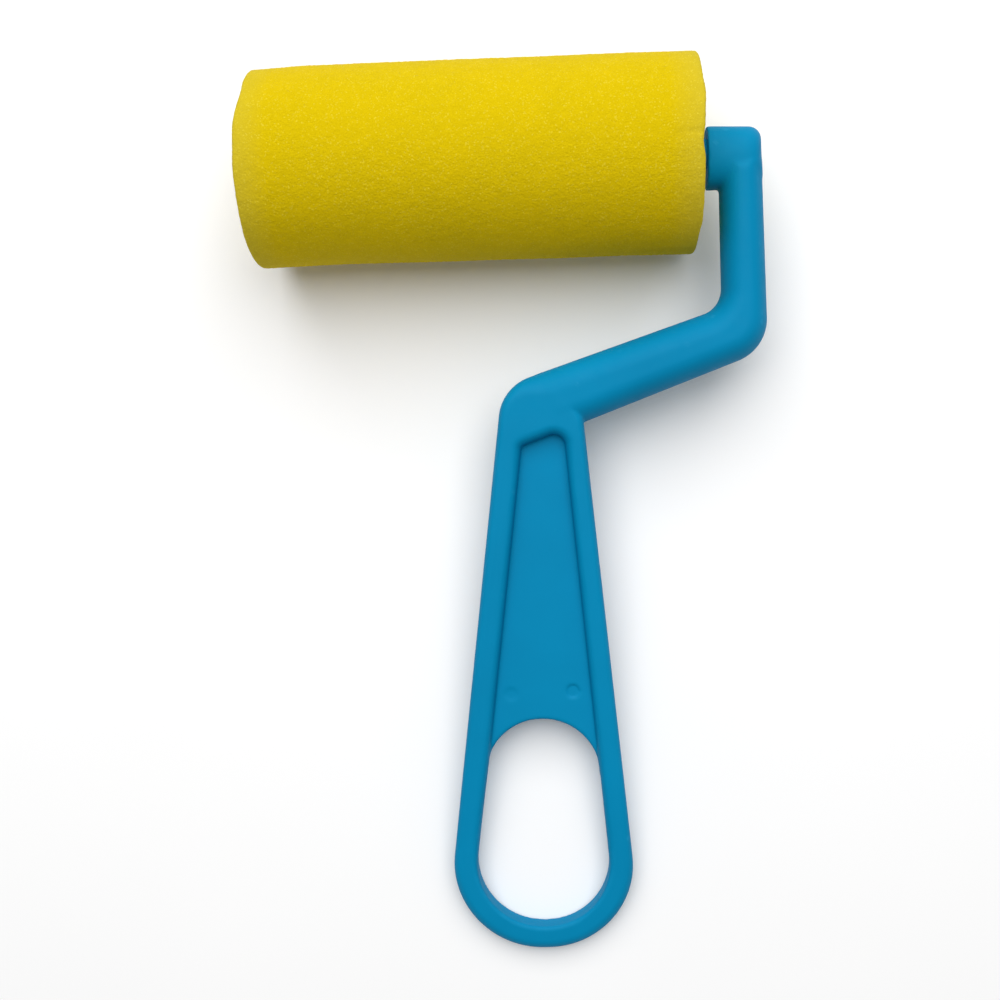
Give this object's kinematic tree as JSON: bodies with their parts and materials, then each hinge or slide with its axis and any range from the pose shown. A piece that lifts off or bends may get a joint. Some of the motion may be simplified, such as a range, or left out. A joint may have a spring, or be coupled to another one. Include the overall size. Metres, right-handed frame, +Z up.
{
  "type": "paint roller",
  "caption": "Small foam paint roller with a moulded plastic handle, finger loop, offset stub arm and a free-spinning foam sleeve.",
  "frame": {"origin": "on the table, in the middle of the footprint of the tool lying on its foam and on the tip of its loop", "axes": "+X along the axle towards the arm, +Y from the finger loop towards the roller, +Z up"},
  "size_m": [0.1158, 0.2076, 0.0443],
  "materials": {
    "handle_plastic": "satin moulded polypropylene",
    "axle_plastic": "satin moulded plastic",
    "core_plastic": "matte natural polypropylene",
    "bush_plastic": "matte natural polypropylene",
    "spring_steel": "satin",
    "foam": "matte fine-cell polyurethane foam"
  },
  "bodies": {
    "handle": {"handle": "handle_plastic", "axle": "axle_plastic", "washer": "spring_steel", "retaining_clip": "spring_steel"},
    "roller": {"foam_sleeve": "foam", "core_tube": "core_plastic", "inner_bush": "bush_plastic", "outer_bush": "bush_plastic", "end_plug": "core_plastic"}
  },
  "joints": [
    {"name": "roller_spin", "type": "hinge", "parent": "handle", "child": "roller", "pos_m": [-0.00791, 0.08162, 0.02217], "axis": [1, 0, 0], "continuous": true}
  ]
}
